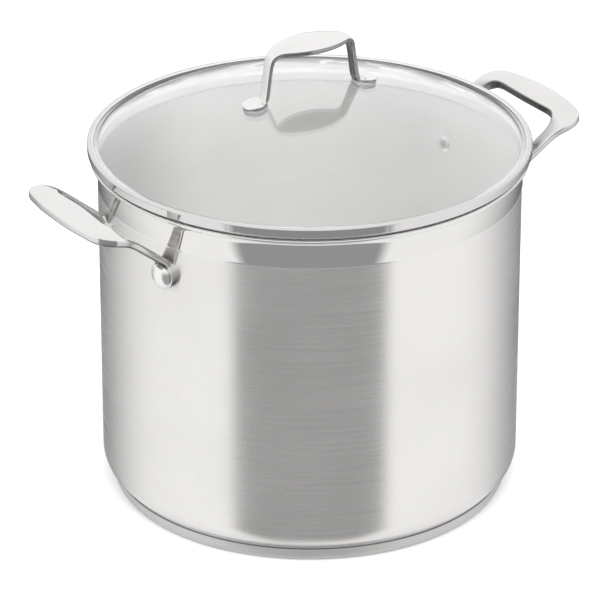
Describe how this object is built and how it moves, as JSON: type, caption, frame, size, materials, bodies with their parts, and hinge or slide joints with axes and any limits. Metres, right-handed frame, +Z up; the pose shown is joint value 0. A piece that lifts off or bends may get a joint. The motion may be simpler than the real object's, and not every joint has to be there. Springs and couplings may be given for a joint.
{
  "type": "water bath canner pot",
  "caption": "Deep straight-sided stainless steel stockpot for water bath canning, with loop side handles and a domed clear glass lid in a steel rim, with an arched lid handle.",
  "frame": {"origin": "centre of the flat underside of the base", "axes": "+Z up along the pot's axis, +X towards the right side handle, the two side handles and the lid handle lie along X"},
  "size_m": [0.3624, 0.274, 0.295],
  "materials": {
    "satin_steel": "satin, brushed round the body, with a mirror-polished band under the lip",
    "base_steel": "fine turned satin",
    "core_aluminium": "plain sheet, sealed inside the base",
    "cast_steel": "polished cast stainless steel",
    "rivet_steel": "polished stainless steel",
    "band_steel": "polished rolled stainless steel",
    "lid_glass": "clear tempered glass",
    "gasket_rubber": "matt pale grey silicone",
    "screw_steel": "plain stainless steel"
  },
  "bodies": {
    "pot": {"pot_body": "satin_steel", "base_core": "core_aluminium", "base_cap": "base_steel", "side_handle_left": "cast_steel", "side_handle_right": "cast_steel", "rivet_left_front": "rivet_steel", "rivet_left_rear": "rivet_steel", "rivet_right_front": "rivet_steel", "rivet_right_rear": "rivet_steel"},
    "lid": {"lid_glass": "lid_glass", "lid_rim_band": "band_steel", "lid_handle": "cast_steel", "outer_gasket_left": "gasket_rubber", "outer_gasket_right": "gasket_rubber", "inner_gasket_left": "gasket_rubber", "inner_gasket_right": "gasket_rubber", "lid_washer_left": "screw_steel", "lid_washer_right": "screw_steel", "lid_screw_left": "screw_steel", "lid_screw_right": "screw_steel"}
  },
  "joints": [
    {"name": "lid_lift", "type": "slide", "parent": "pot", "child": "lid", "axis": [0, 0, 1], "range_m": [0, 0.25]}
  ]
}
